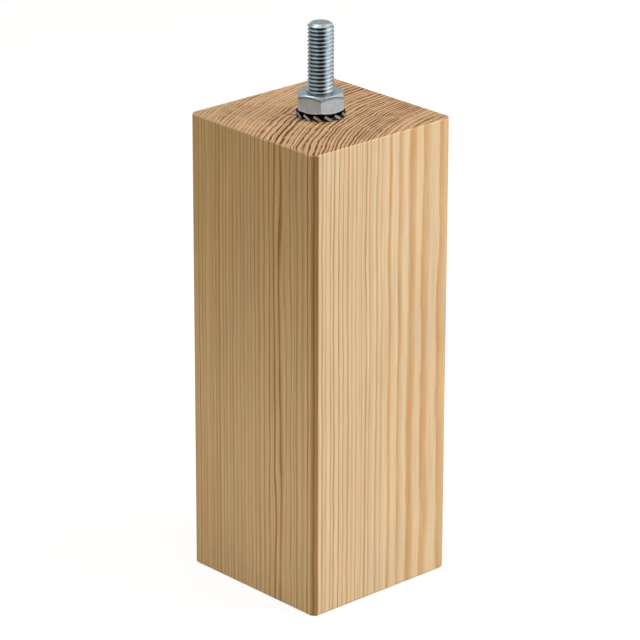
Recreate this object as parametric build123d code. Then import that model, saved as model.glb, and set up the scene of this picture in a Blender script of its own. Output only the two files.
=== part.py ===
from build123d import *
import math
import os

# A square softwood leg with a hanger bolt in its top, locked by a hexagon nut on a toothed washer.
# Millimetres. The origin is the middle of the underside and +Z points up along the leg.

# Wood block
block_side = 70.0
block_height = 185.0
upright_edge_chamfer = 2.0
bottom_edge_chamfer = 1.0
top_edge_chamfer = 0.4

# Machine thread shared by the stud and the nut: metric coarse, 10 mm
thread_diameter = 10.0
thread_pitch = 1.5
stud_free_length = 26.6
stud_end_chamfer_width = 1.4
stud_end_chamfer_length = 0.9

# Wood-screw end of the hanger bolt, inside the block
shank_depth = 8.0
wood_thread_diameter = 9.6
wood_core_diameter = 7.0
wood_thread_pitch = 4.5
wood_thread_length = 34.0
wood_crest_width = 0.3
wood_tip_length = 6.0
wood_tip_diameter = 1.6
flank_angle = 30.0

# Hexagon nut
nut_across_flats = 17.0
nut_height = 7.1
nut_face_diameter = 16.0
nut_chamfer_angle = 30.0
nut_mouth_diameter = 10.8
nut_mouth_angle = 60.0
nut_corner_bearing = -41.6

# Lock washer with twisted outer teeth
washer_thickness = 0.9
washer_ring_width = 1.9
tooth_count = 14
tooth_width = 3.1
tooth_length = 2.2
tooth_root_length = 0.6
tooth_twist = 32.0
first_tooth_bearing = -50.4

# Clearances, measured on the radius
screw_in_wood_clearance = 0.02
thread_clearance = 0.02
washer_bore_clearance = 0.25

# Standard proportions of a metric thread: the height of its sharp triangle sets the other radii
sharp_height = thread_pitch * math.sqrt(3) / 2
crest_radius = thread_diameter / 2
root_radius = crest_radius - sharp_height * 17 / 24
pitch_radius = crest_radius - sharp_height * 3 / 8
crest_width = thread_pitch / 8

# Heights of the stack above the wood
washer_height = (
    tooth_width * math.sin(math.radians(tooth_twist))
    + washer_thickness * math.cos(math.radians(tooth_twist))
)
nut_bottom = block_height + washer_height
nut_top = nut_bottom + nut_height
stud_end = nut_top + stud_free_length


def turned(points):
    """Solid turned about the Z axis from the (radius, height) points of its half section."""
    outline = Polyline([(radius, 0, height) for radius, height in points], close=True)
    return revolve(make_face(outline), Axis.Z)


def ridges(crest, root, pitch, crest_flat, start, count):
    """Half-section points of ridges around a rod, lowest first, each one pitch high."""
    flank = (crest - root) * math.tan(math.radians(flank_angle))
    points = []
    for index in range(count):
        middle = start + (index + 0.5) * pitch
        points += [
            (root, middle - crest_flat / 2 - flank),
            (crest, middle - crest_flat / 2),
            (crest, middle + crest_flat / 2),
            (root, middle + crest_flat / 2 + flank),
        ]
    return points


def wood_end(clearance):
    """Half-section points of the screw inside the wood, from the tip up to the plain shank."""
    shank_bottom = block_height - shank_depth
    thread_bottom = shank_bottom - wood_thread_length
    core = wood_core_diameter / 2 + clearance
    crest = wood_thread_diameter / 2 + clearance
    tip = thread_bottom - wood_tip_length - clearance
    count = int(wood_thread_length / wood_thread_pitch)
    return [
        (0, tip),
        (wood_tip_diameter / 2 + clearance, tip),
        (core, thread_bottom),
        *ridges(crest, core, wood_thread_pitch, wood_crest_width, thread_bottom, count),
        (core, shank_bottom),
        (pitch_radius + clearance, shank_bottom),
    ]


def make_leg_block():
    """Square block with eased edges and the bore that the screw has cut in its top."""
    block = Box(block_side, block_side, block_height, align=(Align.CENTER, Align.CENTER, Align.MIN))
    block = chamfer(block.edges().filter_by(Axis.Z), upright_edge_chamfer)
    block = chamfer(block.faces().sort_by(Axis.Z)[0].edges(), bottom_edge_chamfer)
    block = chamfer(block.faces().sort_by(Axis.Z)[-1].edges(), top_edge_chamfer)
    bore = wood_end(screw_in_wood_clearance)
    bore_radius = pitch_radius + screw_in_wood_clearance
    return block - turned([*bore, (bore_radius, block_height), (0, block_height)])


def make_hanger_bolt():
    """Wood screw below and machine thread above. Inside the nut the thread is its pitch cylinder."""
    count = int(stud_free_length / thread_pitch)
    thread_start = stud_end - count * thread_pitch
    thread = ridges(crest_radius, root_radius, thread_pitch, crest_width, thread_start, count)
    bolt = turned([
        *wood_end(0),
        (pitch_radius, nut_top),
        (root_radius, nut_top),
        *thread,
        (root_radius, stud_end),
        (0, stud_end),
    ])
    end_radius = crest_radius - stud_end_chamfer_width
    waste_radius = crest_radius + stud_end_chamfer_width
    waste = turned([
        (end_radius, stud_end),
        (waste_radius, stud_end - 2 * stud_end_chamfer_length),
        (waste_radius, stud_end),
    ])
    return bolt - waste


def make_hex_nut():
    """Hexagon nut with both ends chamfered to a round face and the bore opened at both mouths."""
    corner_radius = nut_across_flats / math.sqrt(3)
    face_radius = nut_face_diameter / 2
    chamfer_height = (corner_radius - face_radius) * math.tan(math.radians(nut_chamfer_angle))
    bore_radius = pitch_radius + thread_clearance
    mouth_radius = nut_mouth_diameter / 2
    mouth_depth = (mouth_radius - bore_radius) / math.tan(math.radians(nut_mouth_angle))
    prism = extrude(RegularPolygon(corner_radius, 6, rotation=nut_corner_bearing), nut_height)
    turned_blank = turned([
        (bore_radius, mouth_depth),
        (mouth_radius, 0),
        (face_radius, 0),
        (corner_radius, chamfer_height),
        (corner_radius, nut_height - chamfer_height),
        (face_radius, nut_height),
        (mouth_radius, nut_height),
        (bore_radius, nut_height - mouth_depth),
    ])
    return Pos(0, 0, nut_bottom) * (prism & turned_blank)


def make_toothed_washer():
    """Flat ring with outer teeth twisted about their own middle lines, so that their edges bite."""
    bore_radius = crest_radius + washer_bore_clearance
    ring_radius = bore_radius + washer_ring_width
    ring = extrude(Circle(ring_radius) - Circle(bore_radius), washer_thickness / 2, both=True)
    plate = Box(tooth_root_length + tooth_length, tooth_width, washer_thickness)
    plate_middle = ring_radius + (tooth_length - tooth_root_length) / 2
    tooth = Pos(plate_middle, 0, 0) * Rot(-tooth_twist, 0, 0) * plate
    bearings = [first_tooth_bearing + 360 * index / tooth_count for index in range(tooth_count)]
    teeth = [Rot(0, 0, bearing) * tooth for bearing in bearings]
    return Pos(0, 0, block_height + washer_height / 2) * (ring + teeth)


os.makedirs("parts", exist_ok=True)
export_step(make_leg_block(), "parts/leg_block.step")
export_step(make_hanger_bolt(), "parts/hanger_bolt.step")
export_step(make_hex_nut(), "parts/hex_nut.step")
export_step(make_toothed_washer(), "parts/toothed_washer.step")
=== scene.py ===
import math

import bmesh
import bpy
from mathutils import Matrix, Quaternion, Vector


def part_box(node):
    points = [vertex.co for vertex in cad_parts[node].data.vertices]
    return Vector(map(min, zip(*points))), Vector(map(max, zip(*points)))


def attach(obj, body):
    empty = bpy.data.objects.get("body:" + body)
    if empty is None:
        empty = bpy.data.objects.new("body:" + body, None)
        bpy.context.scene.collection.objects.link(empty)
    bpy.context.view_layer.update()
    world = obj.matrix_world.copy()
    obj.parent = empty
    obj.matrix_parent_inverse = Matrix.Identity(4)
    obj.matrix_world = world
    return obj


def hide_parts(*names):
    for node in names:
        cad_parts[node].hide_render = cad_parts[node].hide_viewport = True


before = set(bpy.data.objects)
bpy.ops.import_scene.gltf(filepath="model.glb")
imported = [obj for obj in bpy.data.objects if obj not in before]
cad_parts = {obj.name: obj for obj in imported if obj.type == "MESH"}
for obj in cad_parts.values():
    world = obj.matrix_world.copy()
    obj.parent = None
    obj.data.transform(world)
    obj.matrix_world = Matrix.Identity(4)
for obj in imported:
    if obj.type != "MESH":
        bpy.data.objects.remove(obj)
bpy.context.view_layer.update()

bl_info = {
    "name": "Pine Furniture Leg",
    "version": (1, 0, 0),
    "blender": (4, 5, 0),
    "location": "3D View > Sidebar > Leg",
    "description": "Builds a square pine leg with a threaded stud, a hexagon nut and a toothed washer",
    "category": "Object",
}

MM = 0.001

BLOCK_LOW, BLOCK_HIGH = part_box("leg_block")
STUD_LOW, STUD_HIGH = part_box("hanger_bolt")
NUT_LOW, NUT_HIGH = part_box("hex_nut")
WASHER_LOW, WASHER_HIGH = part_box("toothed_washer")

# Machine thread, metric coarse: the height of its sharp triangle sets the other radii
THREAD_DIAMETER = 10.0 * MM
THREAD_PITCH = 1.5 * MM
SHARP_HEIGHT = THREAD_PITCH * math.sqrt(3) / 2
CREST_RADIUS = THREAD_DIAMETER / 2
ROOT_RADIUS = CREST_RADIUS - SHARP_HEIGHT * 17 / 24
PITCH_RADIUS = CREST_RADIUS - SHARP_HEIGHT * 3 / 8
FLANK_SLOPE = math.tan(math.radians(30))
THREAD_ROUNDING = 0.05 * MM
STUD_END_WIDTH = 1.4 * MM
STUD_END_LENGTH = 0.9 * MM
STUD_RIM_ROUNDING = 0.15 * MM
CLEARANCE = 0.02 * MM

# Wood screw inside the block
SHANK_DEPTH = 8.0 * MM
WOOD_THREAD_LENGTH = 34.0 * MM
WOOD_THREAD_PITCH = 4.5 * MM
WOOD_THREAD_RADIUS = 4.8 * MM
WOOD_CORE_RADIUS = 3.5 * MM
WOOD_CREST_WIDTH = 0.3 * MM
WOOD_TIP_RADIUS = 0.8 * MM

# Nut and washer
NUT_FACE = 8.0 * MM
NUT_MOUTH = 5.4 * MM
NUT_SLOPE = math.tan(math.radians(30))
NUT_MOUTH_SLOPE = math.tan(math.radians(60))
NUT_ROUNDING = 0.14 * MM
WASHER_THICKNESS = 0.9 * MM
WASHER_BORE = 5.25 * MM
WASHER_RING = 7.15 * MM
TOOTH_WIDTH = 3.1 * MM
# Stages of a tooth: how far out of the ring each is, and its share of the twist
TOOTH_STAGES = [(0.35 * MM, 0.45), (0.8 * MM, 0.85), (1.2 * MM, 1.0), (2.2 * MM, 1.0)]


# Property helpers

def length(name, description, default):
    """A length in metres that the sidebar shows in the scene's unit."""
    return bpy.props.FloatProperty(
        name=name, description=description, default=default, unit="LENGTH", precision=5)


def angle(name, description, degrees):
    """An angle, given here in degrees."""
    return bpy.props.FloatProperty(
        name=name, description=description, default=math.radians(degrees), subtype="ANGLE")


def number(name, description, default):
    """A plain number."""
    return bpy.props.FloatProperty(name=name, description=description, default=default)


def colour(name, description, red, green, blue):
    """A colour, given here as it reads on a screen, from 0 to 255."""
    linear = tuple(((value / 255 + 0.055) / 1.055) ** 2.4 for value in (red, green, blue))
    return bpy.props.FloatVectorProperty(
        name=name, description=description, default=linear, min=0, max=1, size=3, subtype="COLOR")


def tint(name, description, red, green, blue):
    """What a surface keeps of a colour, from 0 to 1 for red, green and blue."""
    return bpy.props.FloatVectorProperty(
        name=name, description=description, default=(red, green, blue), min=0, max=1, size=3)


class PineSettings(bpy.types.PropertyGroup):
    """Sizes and colours of the wood block"""

    side: length("Side", "Width of the square block", BLOCK_HIGH.x - BLOCK_LOW.x)
    height: length("Height", "Height of the wood, without the stud", BLOCK_HIGH.z)
    upright_chamfer: length("Upright Chamfer", "Chamfer along the four upright edges", 2.0 * MM)
    bottom_chamfer: length("Bottom Chamfer", "Chamfer round the underside", 1.0 * MM)
    top_chamfer: length("Top Chamfer", "Sanded edge round the top", 0.4 * MM)
    arris: length("Arris", "Softening of every remaining sharp edge", 0.12 * MM)
    early: colour("Earlywood", "Pale wood between the growth lines", 231, 206, 172)
    late: colour("Latewood", "Orange wood of the wide growth bands", 207, 162, 111)
    line: colour("Growth Line", "Brown of the narrow growth lines", 166, 116, 66)
    # Painted shade: the eased upright edges keep slightly less of their colour
    eased_edge_shade_tint: tint("Edge Tint", "Slight painted shade on the eased upright edges", 0.97, 0.92, 0.84)
    # Painted shade: the front upright edge is tinted a darker brown than the other three
    front_edge_shade_tint: tint("Front Edge Shade Tint", "Brown of the front edge", 0.91, 0.76, 0.50)
    end_early: colour("End Earlywood", "Pale wood on the sawn ends", 235, 195, 154)
    end_late: colour("End Latewood", "Growth lines on the sawn ends", 116, 74, 39)


class HardwareSettings(bpy.types.PropertyGroup):
    """Sizes and colours of the stud, the nut and the washer"""

    thread_diameter: length("Thread Diameter", "Outside diameter of the stud", THREAD_DIAMETER)
    thread_pitch: length("Thread Pitch", "Rise of the thread in one turn", THREAD_PITCH)
    thread_start: angle("Thread Start", "Turn of the thread round the stud", 194.0)
    across_flats: length("Across Flats", "Spanner size of the nut", 17.0 * MM)
    corner_bearing: angle("Corner Bearing", "Where one corner of the nut points", -41.6)
    tooth_count: bpy.props.IntProperty(name="Teeth", description="Teeth round the washer", default=14, min=3)
    tooth_twist: angle("Tooth Twist", "Turn of each tooth about its own middle line", 32.0)
    tooth_bearing: angle("Tooth Bearing", "Where the first tooth points", -50.4)
    zinc: colour("Zinc", "Bright zinc plating", 214, 224, 229)
    zinc_dull: colour("Dull Zinc", "Cloudy patches in the plating", 178, 190, 198)
    # Painted shade: the colour that the thread's grooves darken to, and the side where that shade is lighter
    groove_shade: colour("Groove Shade", "Painted shade in the thread's grooves", 68, 75, 79)
    lit_groove_side: angle("Lit Groove Side", "Bearing of the side of the stud where the painted groove shade is lighter", 107.0)
    matt_zinc: colour("Matt Zinc", "Rubbed flats of the nut", 199, 212, 226)
    oxide: colour("Oxide", "Dark finish of the spring steel", 34, 36, 39)
    bare: colour("Bare Steel", "Sheared ends of the washer's teeth", 190, 205, 222)


class StageSettings(bpy.types.PropertyGroup):
    """Camera, lights and floor"""

    azimuth: angle("Azimuth", "Bearing of the camera round the leg", 47.40)
    elevation: angle("Elevation", "Height of the camera above the horizon", 21.46)
    distance: length("Distance", "Camera to the middle of the block", 1.450)
    roll: angle("Roll", "Turn of the camera about its own line of sight", 0.16)
    rise: length("Rise", "How far above the middle of the block the camera aims", 0.0094)
    focal: number("Focal Length", "Lens, in millimetres", 212.7)
    key: number("Key", "Power of the right light, in watts", 26.3)
    fill: number("Fill", "Power of the left light, in watts", 7.85)
    low_fill: number("Low Fill", "Power of the light near the floor, in watts", 0.036)
    overhead: number("Overhead", "Power of the top light, in watts", 13.6)
    ambient: colour("Ambient", "Light from all round", 93, 88, 80)


# Mesh helpers

def chamfered(shape, edges, offset, segments=1):
    """Bevels these edges."""
    bmesh.ops.bevel(
        shape, geom=edges, offset=offset, offset_type="OFFSET", segments=segments,
        profile=0.5, affect="EDGES", material=-1, clamp_overlap=True)


def softened(shape, offset, least_angle, segments=2):
    """Bevels every edge that is sharper than least_angle."""
    sharp = [
        edge for edge in shape.edges
        if len(edge.link_faces) == 2 and edge.calc_face_angle() > least_angle]
    chamfered(shape, sharp, offset, segments)


def section(shape, points):
    """An open line through the (radius, height) points of a half section."""
    corners = [shape.verts.new((radius, 0, height)) for radius, height in points]
    return corners + [shape.edges.new(pair) for pair in zip(corners, corners[1:])]


def closed_up(shape):
    """Merges the doubles of a seam or pole and turns the faces outwards."""
    bmesh.ops.remove_doubles(shape, verts=shape.verts, dist=1e-6)
    bmesh.ops.recalc_face_normals(shape, faces=shape.faces)


def turned(shape, points, steps):
    """Spins a half section once round the Z axis."""
    bmesh.ops.spin(
        shape, geom=section(shape, points), cent=(0, 0, 0), axis=(0, 0, 1), dvec=(0, 0, 0),
        angle=math.tau, steps=steps, use_merge=True)
    closed_up(shape)


def open_edges(shape, height):
    """Edges at this height that have a face on one side only."""
    return [
        edge for edge in shape.edges
        if edge.is_boundary and all(abs(corner.co.z - height) < 1e-6 for corner in edge.verts)]


def ridges(crest, root, pitch, crest_flat, start, count):
    """Half-section points of ridges round a rod, lowest first."""
    flank = (crest - root) * FLANK_SLOPE
    points = []
    for index in range(count):
        middle = start + (index + 0.5) * pitch
        points += [
            (root, middle - crest_flat / 2 - flank),
            (crest, middle - crest_flat / 2),
            (crest, middle + crest_flat / 2),
            (root, middle + crest_flat / 2 + flank),
        ]
    return points


def screw_end(clearance):
    """Half-section points of the wood screw inside the block, tip first."""
    shank_bottom = BLOCK_HIGH.z - SHANK_DEPTH
    thread_bottom = shank_bottom - WOOD_THREAD_LENGTH
    core = WOOD_CORE_RADIUS + clearance
    crest = WOOD_THREAD_RADIUS + clearance
    tip = STUD_LOW.z - clearance
    count = int(WOOD_THREAD_LENGTH / WOOD_THREAD_PITCH)
    return [
        (0, tip),
        (WOOD_TIP_RADIUS + clearance, tip),
        (core, thread_bottom),
        *ridges(crest, core, WOOD_THREAD_PITCH, WOOD_CREST_WIDTH, thread_bottom, count),
        (core, shank_bottom),
        (PITCH_RADIUS + clearance, shank_bottom),
    ]


def finished(name, shape, materials, node, smooth_below=None):
    """Makes a bmesh a piece of the leg that stands for its CAD node."""
    mesh = bpy.data.meshes.new(name)
    shape.to_mesh(mesh)
    shape.free()
    for material in materials:
        mesh.materials.append(material)
    if smooth_below is not None:
        mesh.polygons.foreach_set("use_smooth", [True] * len(mesh.polygons))
        mesh.set_sharp_from_angle(angle=smooth_below)
    piece = bpy.data.objects.new(name, mesh)
    bpy.context.scene.collection.objects.link(piece)
    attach(piece, "root")
    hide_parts(node)


# Node helpers

def node(tree, kind, inputs=None, **settings):
    """Adds a node. An input is a value or the socket that feeds it."""
    made = tree.nodes.new(kind)
    for name, value in settings.items():
        setattr(made, name, value)
    for name, value in (inputs or {}).items():
        if isinstance(value, bpy.types.NodeSocket):
            tree.links.new(value, made.inputs[name])
        else:
            made.inputs[name].default_value = value
    return made


def calc(tree, operation, *values, clamp=False):
    """Result of a Math node."""
    inputs = dict(enumerate(values))
    return node(tree, "ShaderNodeMath", inputs, operation=operation, use_clamp=clamp).outputs[0]


def vector(tree, operation, *values):
    """Result of a Vector Math node that gives a vector."""
    return node(tree, "ShaderNodeVectorMath", dict(enumerate(values)), operation=operation).outputs[0]


def measure(tree, operation, *values):
    """Result of a Vector Math node that gives a number."""
    return node(tree, "ShaderNodeVectorMath", dict(enumerate(values)), operation=operation).outputs["Value"]


def scaled(tree, value, by):
    """A vector or colour times a number."""
    return node(tree, "ShaderNodeVectorMath", {0: value, "Scale": by}, operation="SCALE").outputs[0]


def ranged(tree, value, low, high, to_low=0.0, to_high=1.0, smooth=False):
    """Result of a Map Range node."""
    kind = "SMOOTHSTEP" if smooth else "LINEAR"
    ends = {"Value": value, "From Min": low, "From Max": high, "To Min": to_low, "To Max": to_high}
    return node(tree, "ShaderNodeMapRange", ends, interpolation_type=kind, clamp=True).outputs["Result"]


def mixed(tree, factor, first, second, blend="MIX"):
    """Mix of two colours."""
    ends = {0: factor, 6: first, 7: second}
    return node(tree, "ShaderNodeMix", ends, data_type="RGBA", blend_type=blend).outputs[2]


def noise(tree, position, stretch, detail=2.0, roughness=0.5):
    """Noise from 0 to 1 with so many spots to the millimetre along each axis."""
    place = vector(tree, "MULTIPLY", position, stretch)
    return node(
        tree, "ShaderNodeTexNoise",
        {"Vector": place, "Scale": 1.0, "Detail": detail, "Roughness": roughness}).outputs[0]


def curve(tree, value, points):
    """A value read off straight lines through these points."""
    low, high = points[0][0], points[-1][0]
    heights = [height for _, height in points]
    floor, top = min(heights), max(heights)
    made = node(tree, "ShaderNodeFloatCurve", {"Value": ranged(tree, value, low, high)})
    line = made.mapping.curves[0]
    for _ in points[2:]:
        line.points.new(0.5, 0.5)
    for point, (at, height) in zip(line.points, points):
        point.location = ((at - low) / (high - low), (height - floor) / (top - floor))
        point.handle_type = "VECTOR"
    made.mapping.update()
    return ranged(tree, made.outputs[0], 0.0, 1.0, floor, top)


def new_group(name, inputs, outputs):
    """An empty shader node group with its sockets. Gives the tree, its inputs and its output node."""
    tree = bpy.data.node_groups.new(name, "ShaderNodeTree")
    for label, kind in inputs.items():
        tree.interface.new_socket(name=label, in_out="INPUT", socket_type=kind)
    for label, kind in outputs.items():
        tree.interface.new_socket(name=label, in_out="OUTPUT", socket_type=kind)
    return tree, tree.nodes.new("NodeGroupInput").outputs, tree.nodes.new("NodeGroupOutput").inputs


def new_material(name):
    """An empty material, its tree, its Principled shader and the object coordinates in millimetres."""
    material = bpy.data.materials.new(name)
    material.use_nodes = True
    tree = material.node_tree
    shader = next(n for n in tree.nodes if n.type == "BSDF_PRINCIPLED")
    place = node(tree, "ShaderNodeTexCoord").outputs["Object"]
    return material, tree, shader, scaled(tree, place, 1 / MM)


def placed(tree, group, **inputs):
    """Places a node group and gives its outputs."""
    made = tree.nodes.new("ShaderNodeGroup")
    made.node_tree = group
    for name, value in inputs.items():
        tree.links.new(value, made.inputs[name])
    return made.outputs


# Wood

PITH = (115.0, 47.0, 0.0)
# Zones of the tree: distance from the heart in millimetres, the year that ends there, how dark its line is
ZONES = [
    (79.4, 0, 0.94), (91.3, 5, 0.90), (93.4, 6, 0.45), (113.2, 20, 0.50),
    (117.0, 22, 0.62), (135.5, 30, 0.66), (138.0, 31, 0.46), (171.5, 51, 0.42)]
# Places where the grain spreads or closes: the middle, half the width and length, and how much
SWELLS = [
    ((15.5, -35.0, 152.0), 3.0, 16.0, 0.50),
    ((20.0, -35.0, 168.0), 3.5, 12.0, -0.35),
    ((21.5, -35.0, 136.0), 4.0, 14.0, 0.35),
    ((11.5, -35.0, 130.0), 3.5, 14.0, -0.35),
    ((18.5, -35.0, 110.0), 4.0, 15.0, 0.30),
    ((23.0, -35.0, 90.0), 4.0, 14.0, -0.30),
    ((20.5, -35.0, 72.0), 3.5, 12.0, -0.30),
    ((16.0, -35.0, 56.0), 3.0, 13.0, 0.45),
    ((11.5, -35.0, 38.0), 3.5, 13.0, 0.30),
]
# How the rings wander: spots to the millimetre along each axis, and how far in millimetres
WANDER = [
    ((1 / 40, 1 / 40, 1 / 90), 1.2),
    ((1 / 9, 1 / 9, 1 / 32), 0.8),
    ((1 / 2.2, 1 / 2.2, 1 / 12), 0.22),
]
# A short drying crack in the top, from one end to the other
CHECK = ((-9.0, -9.5, 0.0), (-4.6, -5.6, 0.0))
CHECK_HALF_WIDTH = 0.42
# How strong the lines are on the sawn ends, by their distance from the heart
END_STRENGTH = [
    (79.4, 1.5), (92.0, 1.5), (97.0, 1.9), (110.0, 1.9),
    (114.0, 1.5), (136.0, 1.3), (146.0, 0.85), (171.5, 0.75)]


def swollen(tree, position, centre, half_width, half_length, strength):
    """Spreads the grain apart round a point, as it is where a twig once started."""
    offset = vector(tree, "SUBTRACT", position, centre)
    size = (1 / half_width, 1 / half_width, 1 / half_length)
    reach = vector(tree, "MULTIPLY", offset, size)
    square = measure(tree, "DOT_PRODUCT", reach, reach)
    fade = calc(tree, "EXPONENT", calc(tree, "MULTIPLY", square, -1.0))
    across = vector(tree, "MULTIPLY", offset, (-strength, -strength, 0.0))
    return vector(tree, "ADD", position, scaled(tree, across, fade))


def chance(tree, value):
    """Three numbers from 0 to 1 that differ from one whole number to the next."""
    whole = calc(tree, "FLOOR", value)
    drawn = node(tree, "ShaderNodeTexWhiteNoise", {"W": whole}, noise_dimensions="1D")
    return node(tree, "ShaderNodeSeparateXYZ", {0: drawn.outputs["Color"]}).outputs


def from_axis(tree, place):
    """Distance from the upright axis, in millimetres."""
    return measure(tree, "LENGTH", vector(tree, "MULTIPLY", place, (1.0, 1.0, 0.0)))


def height_of(tree, place):
    """Height above the floor, in millimetres."""
    return node(tree, "ShaderNodeSeparateXYZ", {0: place}).outputs["Z"]


def from_heart(tree, place):
    """Distance from the heart of the tree, in millimetres."""
    return from_axis(tree, vector(tree, "SUBTRACT", place, PITH))


def growth_ring_group():
    """Growth rings round a heart that lies outside the block."""
    tree, given, result = new_group(
        "Growth Rings", {"Position": "NodeSocketVector"},
        {"Band": "NodeSocketFloat", "Line": "NodeSocketFloat", "Tone": "NodeSocketFloat"})
    place = given["Position"]
    for swell in SWELLS:
        place = swollen(tree, place, *swell)
    radius = from_heart(tree, place)
    for stretch, reach in WANDER:
        wander = calc(tree, "SUBTRACT", noise(tree, given["Position"], stretch), 0.5)
        radius = calc(tree, "MULTIPLY_ADD", wander, reach, radius)

    # No two years are equally wide
    along_radius = {"W": radius, "Scale": 0.45, "Detail": 1.0}
    spread = node(tree, "ShaderNodeTexNoise", along_radius, noise_dimensions="1D").outputs[0]
    uneven = calc(tree, "MULTIPLY_ADD", calc(tree, "SUBTRACT", spread, 0.5), 1.3, radius)

    # Near the heart the years are wide and soft. Further out they are narrow and sharp
    wide = ranged(tree, radius, 92.0, 96.0, 1.0, 0.0)
    narrow = calc(tree, "SUBTRACT", 1.0, wide)
    year = curve(tree, uneven, [(at, count + 0.82) for at, count, _ in ZONES])
    phase = calc(tree, "FRACT", year)
    tone, power, width = chance(tree, year)
    onset = calc(tree, "MULTIPLY_ADD", calc(tree, "MULTIPLY", width, 0.20), narrow, 0.30)
    rise = ranged(tree, phase, onset, 0.84, smooth=True)
    drop = ranged(tree, phase, 0.87, 1.0, 1.0, 0.0, smooth=True)
    sharp = ranged(tree, phase, calc(tree, "MULTIPLY_ADD", width, 0.14, 0.48), 0.85, smooth=True)
    line = calc(tree, "MULTIPLY", calc(tree, "MULTIPLY", sharp, drop), narrow)

    # Faint lines between the years
    between = calc(tree, "MULTIPLY_ADD", year, 1.73, 0.3)
    part = calc(tree, "FRACT", between)
    hair_rise = ranged(tree, part, 0.68, 0.86, smooth=True)
    hair_drop = ranged(tree, part, 0.9, 1.0, 1.0, 0.0, smooth=True)
    faint = calc(tree, "MULTIPLY", chance(tree, between)[0], 0.55)
    hair = calc(tree, "MULTIPLY", calc(tree, "MULTIPLY", hair_rise, hair_drop), narrow)
    hair = calc(tree, "MULTIPLY", hair, faint)

    # The strength of a line comes and goes along the grain
    along = ranged(tree, noise(tree, given["Position"], (1 / 5, 1 / 5, 1 / 42)), 0.3, 0.7, 0.75, 1.2)
    differing = calc(tree, "MULTIPLY", calc(tree, "SUBTRACT", power, 0.5), narrow)
    own = calc(tree, "MULTIPLY", calc(tree, "MULTIPLY_ADD", differing, 1.1, 1.0), along)
    strength = calc(tree, "MULTIPLY", own, curve(tree, radius, [(at, dark) for at, _, dark in ZONES]))
    band = calc(tree, "MULTIPLY", rise, drop)
    tree.links.new(calc(tree, "MULTIPLY", band, strength, clamp=True), result["Band"])
    tree.links.new(calc(tree, "MULTIPLY_ADD", line, strength, hair, clamp=True), result["Line"])
    tree.links.new(tone, result["Tone"])
    return tree


def long_grain(settings, rings, name, kept):
    """Planed pine, cut along the grain, that keeps this share of its red, green and blue."""
    material, tree, shader, place = new_material(name)
    grain = placed(tree, rings, Position=place)
    tone = calc(tree, "MULTIPLY", grain["Tone"], 0.14)
    wood = mixed(tree, tone, (*settings.early, 1), (*settings.late, 1))
    wood = mixed(tree, calc(tree, "MULTIPLY", grain["Band"], 0.95), wood, (*settings.late, 1))
    wood = mixed(tree, calc(tree, "MULTIPLY", grain["Line"], 0.75), wood, (*settings.line, 1))
    fibres = noise(tree, place, (1.5, 1.5, 0.05), detail=3.0, roughness=0.65)
    streaks = noise(tree, place, (0.6, 0.6, 0.014), detail=2.0)
    clouds = noise(tree, place, (1 / 16, 1 / 16, 1 / 60))
    warmth = ranged(tree, noise(tree, place, (1 / 7, 1 / 7, 1 / 55)), 0.35, 0.65)
    cast = mixed(tree, warmth, (0.985, 1.01, 1.01, 1), (1.02, 0.985, 0.96, 1))
    wood = vector(tree, "MULTIPLY", wood, cast)
    level = 1.0
    for pattern, amount in ((fibres, 0.40), (streaks, 0.20), (clouds, 0.16)):
        level = calc(tree, "MULTIPLY_ADD", calc(tree, "SUBTRACT", pattern, 0.5), amount, level)
    tree.links.new(scaled(tree, vector(tree, "MULTIPLY", wood, kept), level), shader.inputs["Base Color"])
    tree.links.new(ranged(tree, fibres, 0.2, 0.8, 0.70, 0.58), shader.inputs["Roughness"])
    height = calc(tree, "MULTIPLY_ADD", fibres, 0.6, grain["Band"])
    bump = node(tree, "ShaderNodeBump", {"Height": height, "Strength": 0.25, "Distance": 0.00006})
    tree.links.new(bump.outputs[0], shader.inputs["Normal"])
    shader.inputs["Specular IOR Level"].default_value = 0.12
    return material


def drying_check(tree, place, start, end, half_width):
    """Mask of a short crack in the top, of even width along its length."""
    run = Vector(end) - Vector(start)
    offset = vector(tree, "MULTIPLY", vector(tree, "SUBTRACT", place, start), (1.0, 1.0, 0.0))
    reach = measure(tree, "DOT_PRODUCT", offset, run)
    share_along = calc(tree, "DIVIDE", reach, run.length_squared, clamp=True)
    away = measure(tree, "LENGTH", vector(tree, "SUBTRACT", offset, scaled(tree, tuple(run), share_along)))
    upper = ranged(tree, height_of(tree, place), 150.0, 160.0)
    return calc(tree, "MULTIPLY", ranged(tree, away, 0.3 * half_width, half_width, 1.0, 0.0), upper)


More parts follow.
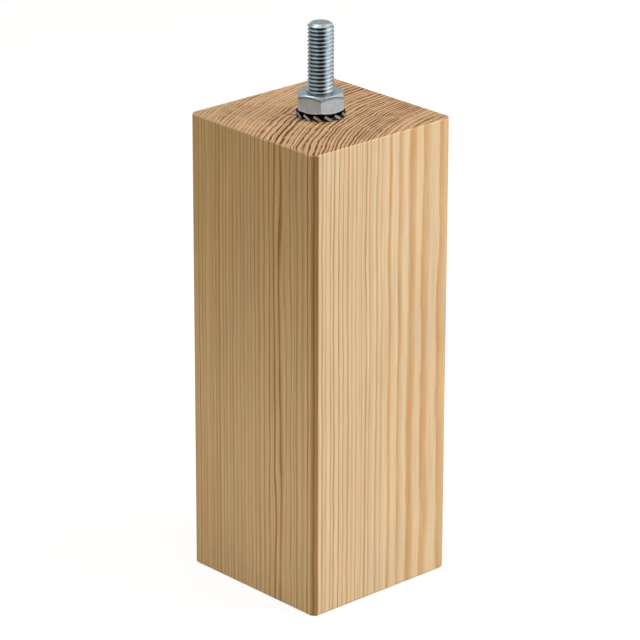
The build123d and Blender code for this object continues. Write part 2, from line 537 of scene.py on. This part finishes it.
def end_grain(settings, rings):
    """Sawn pine, cut across the grain."""
    material, tree, shader, place = new_material("Pine end grain")
    drift = node(
        tree, "ShaderNodeTexNoise", {"Vector": place, "Scale": 1 / 10, "Detail": 1.0}).outputs["Color"]
    shift = vector(tree, "MULTIPLY", vector(tree, "SUBTRACT", drift, (0.5, 0.5, 0.5)), (1.7, 1.7, 0.0))
    grain = placed(tree, rings, Position=vector(tree, "ADD", place, shift))
    patches = ranged(tree, noise(tree, place, (1 / 4.5, 1 / 4.5, 1 / 4.5)), 0.36, 0.64, 0.5, 1.15)
    strength = calc(tree, "MULTIPLY", patches, curve(tree, from_heart(tree, place), END_STRENGTH))
    bands = calc(tree, "POWER", grain["Band"], 0.8)
    lines = calc(tree, "POWER", grain["Line"], 0.7)
    dark = calc(tree, "MULTIPLY_ADD", bands, 0.5, lines)
    dark = calc(tree, "MULTIPLY", dark, strength, clamp=True)
    check = drying_check(tree, place, *CHECK, CHECK_HALF_WIDTH)
    wood = mixed(tree, dark, (*settings.end_early, 1), (*settings.end_late, 1))
    wood = mixed(tree, check, wood, scaled(tree, (*settings.end_late,), 0.35))
    pores = noise(tree, place, (2.0, 2.0, 2.0), detail=3.0, roughness=0.65)
    specks = noise(tree, place, (1.0, 1.0, 1.0), detail=2.0)
    clouds = noise(tree, place, (1 / 12, 1 / 12, 1 / 12))
    level = 1.0
    for pattern, amount in ((pores, 0.72), (specks, 0.55), (clouds, 0.26)):
        level = calc(tree, "MULTIPLY_ADD", calc(tree, "SUBTRACT", pattern, 0.5), amount, level)
    tree.links.new(scaled(tree, wood, level), shader.inputs["Base Color"])
    tree.links.new(ranged(tree, pores, 0.2, 0.8, 0.88, 0.74), shader.inputs["Roughness"])
    height = calc(tree, "MULTIPLY_ADD", check, -4.0, calc(tree, "MULTIPLY_ADD", pores, 0.8, dark))
    bump = node(tree, "ShaderNodeBump", {"Height": height, "Strength": 0.35, "Distance": 0.00012})
    tree.links.new(bump.outputs[0], shader.inputs["Normal"])
    shader.inputs["Specular IOR Level"].default_value = 0.10
    return material


class LEG_OT_pine_block(bpy.types.Operator):
    """Make the square wood block with its eased edges and the bore in its top"""

    bl_idname = "leg.pine_block"
    bl_label = "Pine Block"

    def execute(self, context):
        settings = context.scene.leg_pine
        half = settings.side / 2
        top = settings.height
        shape = bmesh.new()
        bmesh.ops.create_cube(shape, size=1.0)
        bmesh.ops.scale(shape, vec=(settings.side, settings.side, top), verts=shape.verts)
        bmesh.ops.translate(shape, vec=(0, 0, top / 2), verts=shape.verts)

        def level_edges(height):
            return [e for e in shape.edges if all(abs(v.co.z - height) < 1e-7 for v in e.verts)]

        upright = [e for e in shape.edges if abs(e.verts[0].co.z - e.verts[1].co.z) > half]
        chamfered(shape, upright, settings.upright_chamfer)
        chamfered(shape, level_edges(0.0), settings.bottom_chamfer)
        chamfered(shape, level_edges(top), settings.top_chamfer)
        softened(shape, settings.arris, math.radians(20))

        lid = max((f for f in shape.faces if f.normal.z > 0.99), key=lambda f: f.calc_area())
        bmesh.ops.delete(shape, geom=[lid], context="FACES_ONLY")
        bore = [*screw_end(CLEARANCE), (PITCH_RADIUS + CLEARANCE, top)]
        bmesh.ops.spin(
            shape, geom=section(shape, bore), cent=(0, 0, 0), axis=(0, 0, 1), dvec=(0, 0, 0),
            angle=math.tau, steps=64, use_merge=True)
        bmesh.ops.remove_doubles(shape, verts=shape.verts, dist=1e-6)
        bmesh.ops.triangle_fill(shape, use_beauty=True, use_dissolve=False, edges=open_edges(shape, top))
        bmesh.ops.recalc_face_normals(shape, faces=shape.faces)
        for face in shape.faces:
            middle = face.calc_center_median()
            outside = middle.to_2d().length > half
            slanted = outside and min(abs(face.normal.x), abs(face.normal.y)) > 0.3
            if abs(face.normal.z) > 0.9:
                face.material_index = 1
            elif slanted:
                # The front upright edge gets the stronger painted shade, the other three a slight painted
                # shade
                face.material_index = 3 if middle.x > 0 > middle.y else 2

        rings = growth_ring_group()
        grain = long_grain(settings, rings, "Pine long grain", (1.0, 1.0, 1.0))
        # Copy of the long grain with a slight painted shade for the eased upright edges
        edge = long_grain(settings, rings, "Pine eased edge painted shade", tuple(settings.eased_edge_shade_tint))
        # Copy of the long grain with painted shade for the front upright edge
        shaded_front_edge = long_grain(settings, rings, "Pine front edge painted shade", tuple(settings.front_edge_shade_tint))
        woods = [grain, end_grain(settings, rings), edge, shaded_front_edge]
        finished("pine_block", shape, woods, "leg_block")
        return {"FINISHED"}


# Metal

def metal_surface_group():
    """Cloudy patches and fine drawn marks in a metal surface."""
    tree, given, result = new_group(
        "Metal Surface", {"Position": "NodeSocketVector"},
        {"Clouds": "NodeSocketFloat", "Marks": "NodeSocketFloat"})
    clouds = noise(tree, given["Position"], (0.5, 0.5, 0.5), detail=4.0, roughness=0.6)
    marks = noise(tree, given["Position"], (1.5, 1.5, 9.0), detail=3.0, roughness=0.7)
    tree.links.new(clouds, result["Clouds"])
    tree.links.new(marks, result["Marks"])
    return tree


def shared_group(make, name):
    """The node group of this name, made the first time that it is wanted."""
    return bpy.data.node_groups.get(name) or make()


def zinc_plate(settings, name, roughness, grooves=None):
    """Bright zinc plating, slightly blue. Below the height given, painted shade darkens a thread's grooves,
    and less so on the lit side of the stud.
    """
    material, tree, shader, place = new_material(name)
    surface = placed(tree, shared_group(metal_surface_group, "Metal Surface"), Position=place)
    plate = mixed(
        tree, ranged(tree, surface["Clouds"], 0.35, 0.7), (*settings.zinc, 1), (*settings.zinc_dull, 1))
    if grooves is not None:
        # Painted shade in the grooves: the colour darkens towards the root radius, less on the lit side
        radius = from_axis(tree, place)
        below = calc(tree, "LESS_THAN", height_of(tree, place), grooves / MM)
        sideways = measure(tree, "DOT_PRODUCT", place, toward(settings.lit_groove_side, 0.0))
        facing = calc(tree, "DIVIDE", sideways, radius)
        unlit_side = calc(tree, "MULTIPLY", ranged(tree, facing, 0.66, 0.92, 1.0, 0.30, smooth=True), below)
        painted_groove_shade = calc(tree, "MULTIPLY", ranged(tree, radius, 4.25, 4.7, 0.92, 0.0, smooth=True), unlit_side)
        plate = mixed(tree, painted_groove_shade, plate, (*settings.groove_shade, 1))
    tree.links.new(plate, shader.inputs["Base Color"])
    worn = ranged(tree, surface["Marks"], 0.25, 0.75, roughness - 0.05, roughness + 0.06)
    tree.links.new(worn, shader.inputs["Roughness"])
    bump = node(tree, "ShaderNodeBump", {"Height": surface["Clouds"], "Strength": 0.06, "Distance": 0.00003})
    tree.links.new(bump.outputs[0], shader.inputs["Normal"])
    shader.inputs["Metallic"].default_value = 1.0
    return material


def matt_zinc(settings):
    """Zinc plating rubbed matt on the flats of the nut."""
    material, tree, shader, place = new_material("Matt zinc")
    surface = placed(tree, shared_group(metal_surface_group, "Metal Surface"), Position=place)
    clouds = ranged(tree, surface["Clouds"], 0.3, 0.7, 0.42, 0.56)
    marks = ranged(tree, surface["Marks"], 0.3, 0.7, 0.47, 0.53)
    level = calc(tree, "ADD", clouds, marks)
    # The flats are darker just under the upper chamfer and lighter just above the lower one
    height = height_of(tree, place)
    past_face = calc(tree, "SUBTRACT", from_axis(tree, place), NUT_FACE / MM)
    chamfer = calc(tree, "MULTIPLY", past_face, NUT_SLOPE)
    from_top = calc(tree, "SUBTRACT", calc(tree, "SUBTRACT", NUT_HIGH.z / MM, height), chamfer)
    from_bottom = calc(tree, "SUBTRACT", calc(tree, "SUBTRACT", height, NUT_LOW.z / MM), chamfer)
    level = calc(tree, "MULTIPLY", level, ranged(tree, from_top, 0.15, 1.5, 0.38, 1.0, smooth=True))
    level = calc(tree, "MULTIPLY", level, ranged(tree, from_bottom, 0.1, 1.0, 1.22, 1.0, smooth=True))
    tree.links.new(scaled(tree, tuple(settings.matt_zinc), level), shader.inputs["Base Color"])
    tree.links.new(ranged(tree, surface["Marks"], 0.25, 0.75, 0.46, 0.58), shader.inputs["Roughness"])
    bump = node(tree, "ShaderNodeBump", {"Height": surface["Marks"], "Strength": 0.10, "Distance": 0.00003})
    tree.links.new(bump.outputs[0], shader.inputs["Normal"])
    shader.inputs["Metallic"].default_value = 0.5
    return material


def spring_steel(settings):
    """Dark spring steel with bright sheared tooth ends."""
    material, tree, shader, place = new_material("Spring steel")
    surface = placed(tree, shared_group(metal_surface_group, "Metal Surface"), Position=place)
    ragged = calc(tree, "MULTIPLY_ADD", surface["Marks"], 0.2, from_axis(tree, place))
    ends = ranged(tree, ragged, 9.25, 9.45, smooth=True)
    steel = mixed(tree, ends, (*settings.oxide, 1), (*settings.bare, 1))
    level = ranged(tree, surface["Clouds"], 0.3, 0.7, 0.8, 1.2)
    tree.links.new(scaled(tree, steel, level), shader.inputs["Base Color"])
    tree.links.new(ranged(tree, surface["Marks"], 0.25, 0.75, 0.34, 0.5), shader.inputs["Roughness"])
    bump = node(tree, "ShaderNodeBump", {"Height": surface["Marks"], "Strength": 0.12, "Distance": 0.00003})
    tree.links.new(bump.outputs[0], shader.inputs["Normal"])
    shader.inputs["Metallic"].default_value = 0.8
    return material


class LEG_OT_threaded_stud(bpy.types.Operator):
    """Make the hanger bolt: a helical machine thread above and a wood screw below"""

    bl_idname = "leg.threaded_stud"
    bl_label = "Threaded Stud"

    def execute(self, context):
        settings = context.scene.leg_hardware
        pitch = settings.thread_pitch
        crest = settings.thread_diameter / 2
        end = STUD_HIGH.z
        thread_bottom = NUT_HIGH.z - 0.2 * MM
        steps = 64
        turns = math.ceil((end - thread_bottom) / pitch) + 2

        # One pitch of the thread, from the middle of one groove to the middle of the next
        rounding = THREAD_ROUNDING
        flank = (crest - ROOT_RADIUS) * FLANK_SLOPE
        groove = (pitch - pitch / 8 - 2 * flank) / 2
        half = [
            (ROOT_RADIUS, 0.0),
            (ROOT_RADIUS, groove - rounding),
            (ROOT_RADIUS + rounding, groove + rounding * 0.6),
            (crest - rounding, groove + flank - rounding * 0.6),
            (crest - rounding * 0.2, groove + flank + rounding * 0.3),
            (crest, pitch / 2),
        ]
        start = thread_bottom - 1.5 * pitch
        whole = half + [(radius, pitch - height) for radius, height in reversed(half[:-1])]
        shape = bmesh.new()
        bmesh.ops.spin(
            shape, geom=section(shape, [(radius, start + height) for radius, height in whole]),
            cent=(0, 0, 0), axis=(0, 0, 1), dvec=(0, 0, pitch / steps),
            angle=math.tau * turns, steps=steps * turns, use_merge=False)
        bmesh.ops.remove_doubles(shape, verts=shape.verts, dist=2e-6)
        bmesh.ops.rotate(
            shape, cent=(0, 0, 0), matrix=Matrix.Rotation(settings.thread_start, 3, "Z"), verts=shape.verts)
        for height, upper in ((thread_bottom, False), (end, True)):
            bmesh.ops.bisect_plane(
                shape, geom=[*shape.verts, *shape.edges, *shape.faces], dist=1e-7, plane_co=(0, 0, height),
                plane_no=(0, 0, 1), clear_outer=upper, clear_inner=not upper)
        for corner in shape.verts:
            radius = math.hypot(corner.co.x, corner.co.y)
            limit = crest - STUD_END_WIDTH + (end - corner.co.z) * STUD_END_WIDTH / STUD_END_LENGTH
            if radius > limit:
                corner.co.xy *= limit / radius

        rim = open_edges(shape, end)
        bmesh.ops.edgeloop_fill(shape, edges=rim)
        chamfered(shape, rim, STUD_RIM_ROUNDING, 3)

        # Plain shank and wood screw below, joined to the lowest thread
        neck = thread_bottom - 0.3 * MM
        joint = thread_bottom - 0.05 * MM
        lower = [*screw_end(0.0), (PITCH_RADIUS, neck), (ROOT_RADIUS, neck), (ROOT_RADIUS, joint)]
        bmesh.ops.spin(
            shape, geom=section(shape, lower), cent=(0, 0, 0), axis=(0, 0, 1), dvec=(0, 0, 0),
            angle=math.tau, steps=steps, use_merge=True)
        bmesh.ops.remove_doubles(shape, verts=shape.verts, dist=1e-6)
        bmesh.ops.bridge_loops(shape, edges=open_edges(shape, thread_bottom) + open_edges(shape, joint))
        bmesh.ops.recalc_face_normals(shape, faces=shape.faces)
        plate = zinc_plate(settings, "Zinc thread", 0.30, grooves=end - 1.0 * MM)
        finished(
            "threaded_stud", shape, [plate], "hanger_bolt",
            smooth_below=math.radians(35))
        return {"FINISHED"}


class LEG_OT_hex_nut(bpy.types.Operator):
    """Make the hexagon nut: a turned blank with six flats cut on it"""

    bl_idname = "leg.hex_nut"
    bl_label = "Hexagon Nut"

    def execute(self, context):
        settings = context.scene.leg_hardware
        corner = settings.across_flats / math.sqrt(3)
        bore = PITCH_RADIUS + CLEARANCE
        low, high = NUT_LOW.z, NUT_HIGH.z
        slope = (corner - NUT_FACE) * NUT_SLOPE
        depth = (NUT_MOUTH - bore) / NUT_MOUTH_SLOPE
        shape = bmesh.new()
        blank = [
            (bore, low + depth), (NUT_MOUTH, low), (NUT_FACE, low), (corner, low + slope),
            (corner, high - slope), (NUT_FACE, high), (NUT_MOUTH, high), (bore, high - depth),
            (bore, low + depth)]
        turned(shape, blank, 144)
        for index in range(6):
            bearing = settings.corner_bearing + math.radians(30 + 60 * index)
            normal = Vector((math.cos(bearing), math.sin(bearing), 0))
            cut = bmesh.ops.bisect_plane(
                shape, geom=[*shape.verts, *shape.edges, *shape.faces], dist=1e-8,
                plane_co=normal * settings.across_flats / 2, plane_no=normal, clear_outer=True)
            rim = [e for e in cut["geom_cut"] if isinstance(e, bmesh.types.BMEdge)]
            bmesh.ops.edgeloop_fill(shape, edges=rim)
        closed_up(shape)
        softened(shape, NUT_ROUNDING, math.radians(24), 3)
        for flat in sorted(shape.faces, key=lambda f: f.calc_area())[-6:]:
            flat.material_index = 1
        plates = [zinc_plate(settings, "Zinc nut", 0.32), matt_zinc(settings)]
        finished("hexagon_nut", shape, plates, "hex_nut", smooth_below=math.radians(6))
        return {"FINISHED"}


class LEG_OT_toothed_washer(bpy.types.Operator):
    """Make the lock washer: a flat ring with twisted teeth drawn out of its rim"""

    bl_idname = "leg.toothed_washer"
    bl_label = "Toothed Washer"

    def execute(self, context):
        settings = context.scene.leg_hardware
        bore, ring = WASHER_BORE, WASHER_RING
        middle = (WASHER_LOW.z + WASHER_HIGH.z) / 2
        parts = 8
        count = settings.tooth_count
        shape = bmesh.new()
        low, high = middle - WASHER_THICKNESS / 2, middle + WASHER_THICKNESS / 2
        turned(shape, [(bore, low), (ring, low), (ring, high), (bore, high), (bore, low)], count * parts)
        first = settings.tooth_bearing + math.pi / count
        bmesh.ops.rotate(shape, cent=(0, 0, 0), matrix=Matrix.Rotation(first, 3, "Z"), verts=shape.verts)

        for index in range(count):
            bearing = settings.tooth_bearing + math.tau * index / count
            out = Vector((math.cos(bearing), math.sin(bearing), 0))
            side = Vector((-out.y, out.x, 0))
            faces = [
                f for f in shape.faces
                if abs(f.normal.z) < 0.5 and f.calc_center_median().to_2d().length > ring * 0.98
                and f.calc_center_median().to_2d().angle(out.to_2d()) < math.pi / count * (1 - 1.5 / parts)]
            layers = []
            for distance, twist in TOOTH_STAGES:
                made = bmesh.ops.extrude_face_region(shape, geom=faces)["geom"]
                bmesh.ops.delete(shape, geom=faces, context="FACES_ONLY")
                corners = [g for g in made if isinstance(g, bmesh.types.BMVert)]
                faces = [g for g in made if isinstance(g, bmesh.types.BMFace)]
                widest = max(abs(corner.co.dot(side)) for corner in corners)
                for corner in corners:
                    across = corner.co.dot(side) / widest * TOOTH_WIDTH / 2
                    corner.co = out * (ring + distance) + side * across + Vector((0, 0, corner.co.z))
                layers.append((corners, twist))
            for corners, twist in layers:
                turn = Matrix.Rotation(-settings.tooth_twist * twist, 3, out)
                bmesh.ops.rotate(shape, cent=(0, 0, middle), matrix=turn, verts=corners)
        closed_up(shape)
        finished(
            "toothed_washer_ring", shape, [spring_steel(settings)], "toothed_washer",
            smooth_below=math.radians(30))
        return {"FINISHED"}


# Stage

FLOOR_RADIUS = 6.0
FLOOR_BOUNCE = (0.34, 0.30, 0.22, 1)
FLOOR_GREY = (0.22, 0.22, 0.22, 1)
FLOOR_GLOW = 0.88
LAMP_AIM = Vector((0, 0, 0.11))
# Bearing and elevation in degrees, distance, width and height in metres, and the colour
LAMPS = {
    "Key": (133, 8, 1.6, 0.9, 0.6, (1.0, 0.985, 0.95)),
    "Fill": (-40, 5, 1.8, 0.9, 0.6, (1.0, 0.76, 0.26)),
    "Low Fill": (10, -27, 0.175, 0.10, 0.04, (0.95, 0.97, 1.0)),
    "Overhead": (0, 90, 1.5, 1.2, 1.2, (1.0, 0.98, 0.95)),
}


def seen_directly(tree):
    """1 for what the camera, a mirror or glass looks at, and 0 for light that only bounces."""
    path = node(tree, "ShaderNodeLightPath").outputs
    looks = calc(tree, "ADD", path["Is Camera Ray"], path["Is Glossy Ray"])
    return calc(tree, "ADD", looks, path["Is Transmission Ray"], clamp=True)


def pale_floor(floor):
    """Pale floor that reads as white to the camera and keeps a soft shadow."""
    material = bpy.data.materials.new("Pale floor")
    material.use_nodes = True
    tree = material.node_tree
    tree.nodes.clear()
    seen = seen_directly(tree)
    paint = mixed(tree, seen, FLOOR_BOUNCE, FLOOR_GREY)
    matt = node(tree, "ShaderNodeBsdfDiffuse", {"Color": paint})
    strength = calc(tree, "MULTIPLY", seen, FLOOR_GLOW)
    glow = node(tree, "ShaderNodeEmission", {"Color": (1, 1, 1, 1), "Strength": strength})
    both = node(tree, "ShaderNodeAddShader", {0: matt.outputs[0], 1: glow.outputs[0]})
    node(tree, "ShaderNodeOutputMaterial", {"Surface": both.outputs[0]})
    floor.data.materials.append(material)


def white_world(scene, ambient):
    """White all round for the camera and for reflections, and a plain warm level of light for the rest."""
    world = bpy.data.worlds.new("White room")
    world.use_nodes = True
    tree = world.node_tree
    tree.nodes.clear()
    light = mixed(tree, seen_directly(tree), (*ambient, 1), (1, 1, 1, 1))
    sky = node(tree, "ShaderNodeBackground", {"Color": light})
    node(tree, "ShaderNodeOutputWorld", {"Surface": sky.outputs[0]})
    scene.world = world


def toward(azimuth, elevation):
    """Unit vector from the leg to this bearing, where 0 is in front of the -Y face and 90 of the +X face."""
    flat = math.cos(elevation)
    return Vector((math.sin(azimuth) * flat, -math.cos(azimuth) * flat, math.sin(elevation)))


def soft_light(name, azimuth, elevation, distance, width, height, hue, power):
    """A large soft lamp that faces the leg, and that the metal doesn't mirror."""
    lamp = bpy.data.lights.new(name, "AREA")
    lamp.shape = "RECTANGLE"
    lamp.size, lamp.size_y = width, height
    lamp.energy = power
    lamp.color = hue
    holder = bpy.data.objects.new(name, lamp)
    back = toward(math.radians(azimuth), math.radians(elevation))
    holder.location = LAMP_AIM + back * distance
    holder.rotation_euler = back.to_track_quat("Z", "Y").to_euler()
    holder.visible_camera = holder.visible_glossy = False
    bpy.context.scene.collection.objects.link(holder)


def mirrored_card(name, start, end, profile, hue, tone):
    """A curved wall or ceiling round the table that only reflections see, from one bearing to another."""
    shape = bmesh.new()
    first = toward(math.radians(start), 0)
    corners = [shape.verts.new((first.x * radius, first.y * radius, height)) for radius, height in profile]
    bmesh.ops.spin(
        shape, geom=[*corners, shape.edges.new(corners)], cent=(0, 0, 0), axis=(0, 0, 1), dvec=(0, 0, 0),
        angle=math.radians(end - start), steps=24, use_merge=False)
    mesh = bpy.data.meshes.new(name)
    shape.to_mesh(mesh)
    shape.free()
    card = bpy.data.objects.new(name, mesh)
    bpy.context.scene.collection.objects.link(card)
    material = bpy.data.materials.new(name)
    material.use_nodes = True
    tree = material.node_tree
    tree.nodes.clear()
    cloth = node(tree, "ShaderNodeEmission", {"Color": (*hue, 1), "Strength": tone})
    node(tree, "ShaderNodeOutputMaterial", {"Surface": cloth.outputs[0]})
    mesh.materials.append(material)
    card.visible_camera = card.visible_diffuse = card.visible_shadow = card.visible_transmission = False


WALL = 0.36
COOL = (0.92, 1.0, 1.03)
PLAIN = (0.98, 1.0, 0.98)
# Bearings in degrees, two (radius, height) points in metres, the colour and the brightness
CARDS = {
    "Card left": (-80, 15, [(WALL + 0.01, 0.0), (WALL + 0.01, 0.40)], COOL, 0.08),
    "Card left high": (-80, 15, [(WALL, 0.40), (WALL, 0.90)], COOL, 0.40),
    "Strip left": (-50, 18, [(WALL, 0.15), (WALL, 0.30)], COOL, 1.4),
    "Card front": (15, 80, [(WALL, 0.0), (WALL, 0.40)], COOL, 0.02),
    "Card front high": (36, 74, [(WALL, 0.40), (WALL, 1.10)], COOL, 0.30),
    "Card right": (80, 107, [(WALL, 0.0), (WALL, 0.40)], PLAIN, 0.40),
    "Softbox right high": (80, 107, [(WALL, 0.40), (WALL, 1.10)], PLAIN, 1.8),
    "Softbox right": (107, 156, [(WALL + 0.01, 0.0), (WALL + 0.01, 1.10)], PLAIN, 1.7),
    "Card behind right low": (156, 200, [(WALL, 0.0), (WALL, 0.34)], COOL, 0.12),
    "Softbox behind right": (150, 190, [(WALL, 0.55), (WALL, 1.0)], PLAIN, 1.0),
    "Card behind": (200, 285, [(WALL, 0.0), (WALL, 0.55)], COOL, 0.45),
    "Softbox left": (245, 300, [(WALL, 0.65), (WALL, 1.3)], COOL, 2.4),
    "Ceiling": (100, 215, [(0.05, 1.3), (WALL, 1.3)], COOL, 0.10),
}


class LEG_OT_studio(bpy.types.Operator):
    """Set the leg on a pale floor under four soft lights and place the camera"""

    bl_idname = "leg.studio"
    bl_label = "Studio"

    def execute(self, context):
        scene = context.scene
        settings = scene.leg_stage
        shape = bmesh.new()
        bmesh.ops.create_circle(shape, cap_ends=True, segments=64, radius=FLOOR_RADIUS)
        mesh = bpy.data.meshes.new("studio_floor")
        shape.to_mesh(mesh)
        shape.free()
        floor = bpy.data.objects.new("studio_floor", mesh)
        scene.collection.objects.link(floor)
        pale_floor(floor)

        white_world(scene, settings.ambient)
        powers = [settings.key, settings.fill, settings.low_fill, settings.overhead]
        for (name, lamp), power in zip(LAMPS.items(), powers):
            soft_light(name, *lamp, power)
        for name, card in CARDS.items():
            mirrored_card(name, *card)

        middle = Vector((0, 0, scene.leg_pine.height / 2))
        back = toward(settings.azimuth, settings.elevation)
        right = Vector((0, 0, 1)).cross(back).normalized()
        up = back.cross(right)
        camera = bpy.data.objects.new("Camera", bpy.data.cameras.new("Camera"))
        camera.data.sensor_width = 36.0
        camera.data.lens = settings.focal
        camera.data.clip_start, camera.data.clip_end = 0.05, 50.0
        camera.location = middle + back * settings.distance
        aim = middle + up * settings.rise - camera.location
        turn = Quaternion((0, 0, 1), settings.roll)
        camera.rotation_euler = (aim.to_track_quat("-Z", "Y") @ turn).to_euler()
        scene.collection.objects.link(camera)
        scene.camera = camera
        scene.view_settings.view_transform = "Standard"
        return {"FINISHED"}


class LEG_PT_sidebar(bpy.types.Panel):
    """Lists the steps that build the leg"""

    bl_idname = "LEG_PT_sidebar"
    bl_label = "Pine Leg"
    bl_space_type = "VIEW_3D"
    bl_region_type = "UI"
    bl_category = "Leg"

    def draw(self, context):
        for operator in OPERATORS:
            self.layout.operator(operator.bl_idname)
        for name in SETTINGS:
            box = self.layout.box()
            group = getattr(context.scene, name)
            for prop in group.bl_rna.properties:
                if prop.identifier not in {"rna_type", "name"}:
                    box.prop(group, prop.identifier)


SETTINGS = {"leg_pine": PineSettings, "leg_hardware": HardwareSettings, "leg_stage": StageSettings}
OPERATORS = [LEG_OT_pine_block, LEG_OT_threaded_stud, LEG_OT_hex_nut, LEG_OT_toothed_washer, LEG_OT_studio]


def register():
    for cls in [*SETTINGS.values(), *OPERATORS, LEG_PT_sidebar]:
        bpy.utils.register_class(cls)
    for name, cls in SETTINGS.items():
        setattr(bpy.types.Scene, name, bpy.props.PointerProperty(type=cls))


def unregister():
    for name in SETTINGS:
        delattr(bpy.types.Scene, name)
    for cls in reversed([*SETTINGS.values(), *OPERATORS, LEG_PT_sidebar]):
        bpy.utils.unregister_class(cls)


def main():
    register()
    bpy.ops.leg.pine_block()
    bpy.ops.leg.threaded_stud()
    bpy.ops.leg.hex_nut()
    bpy.ops.leg.toothed_washer()
    bpy.ops.leg.studio()


if __name__ == "__main__":
    main()
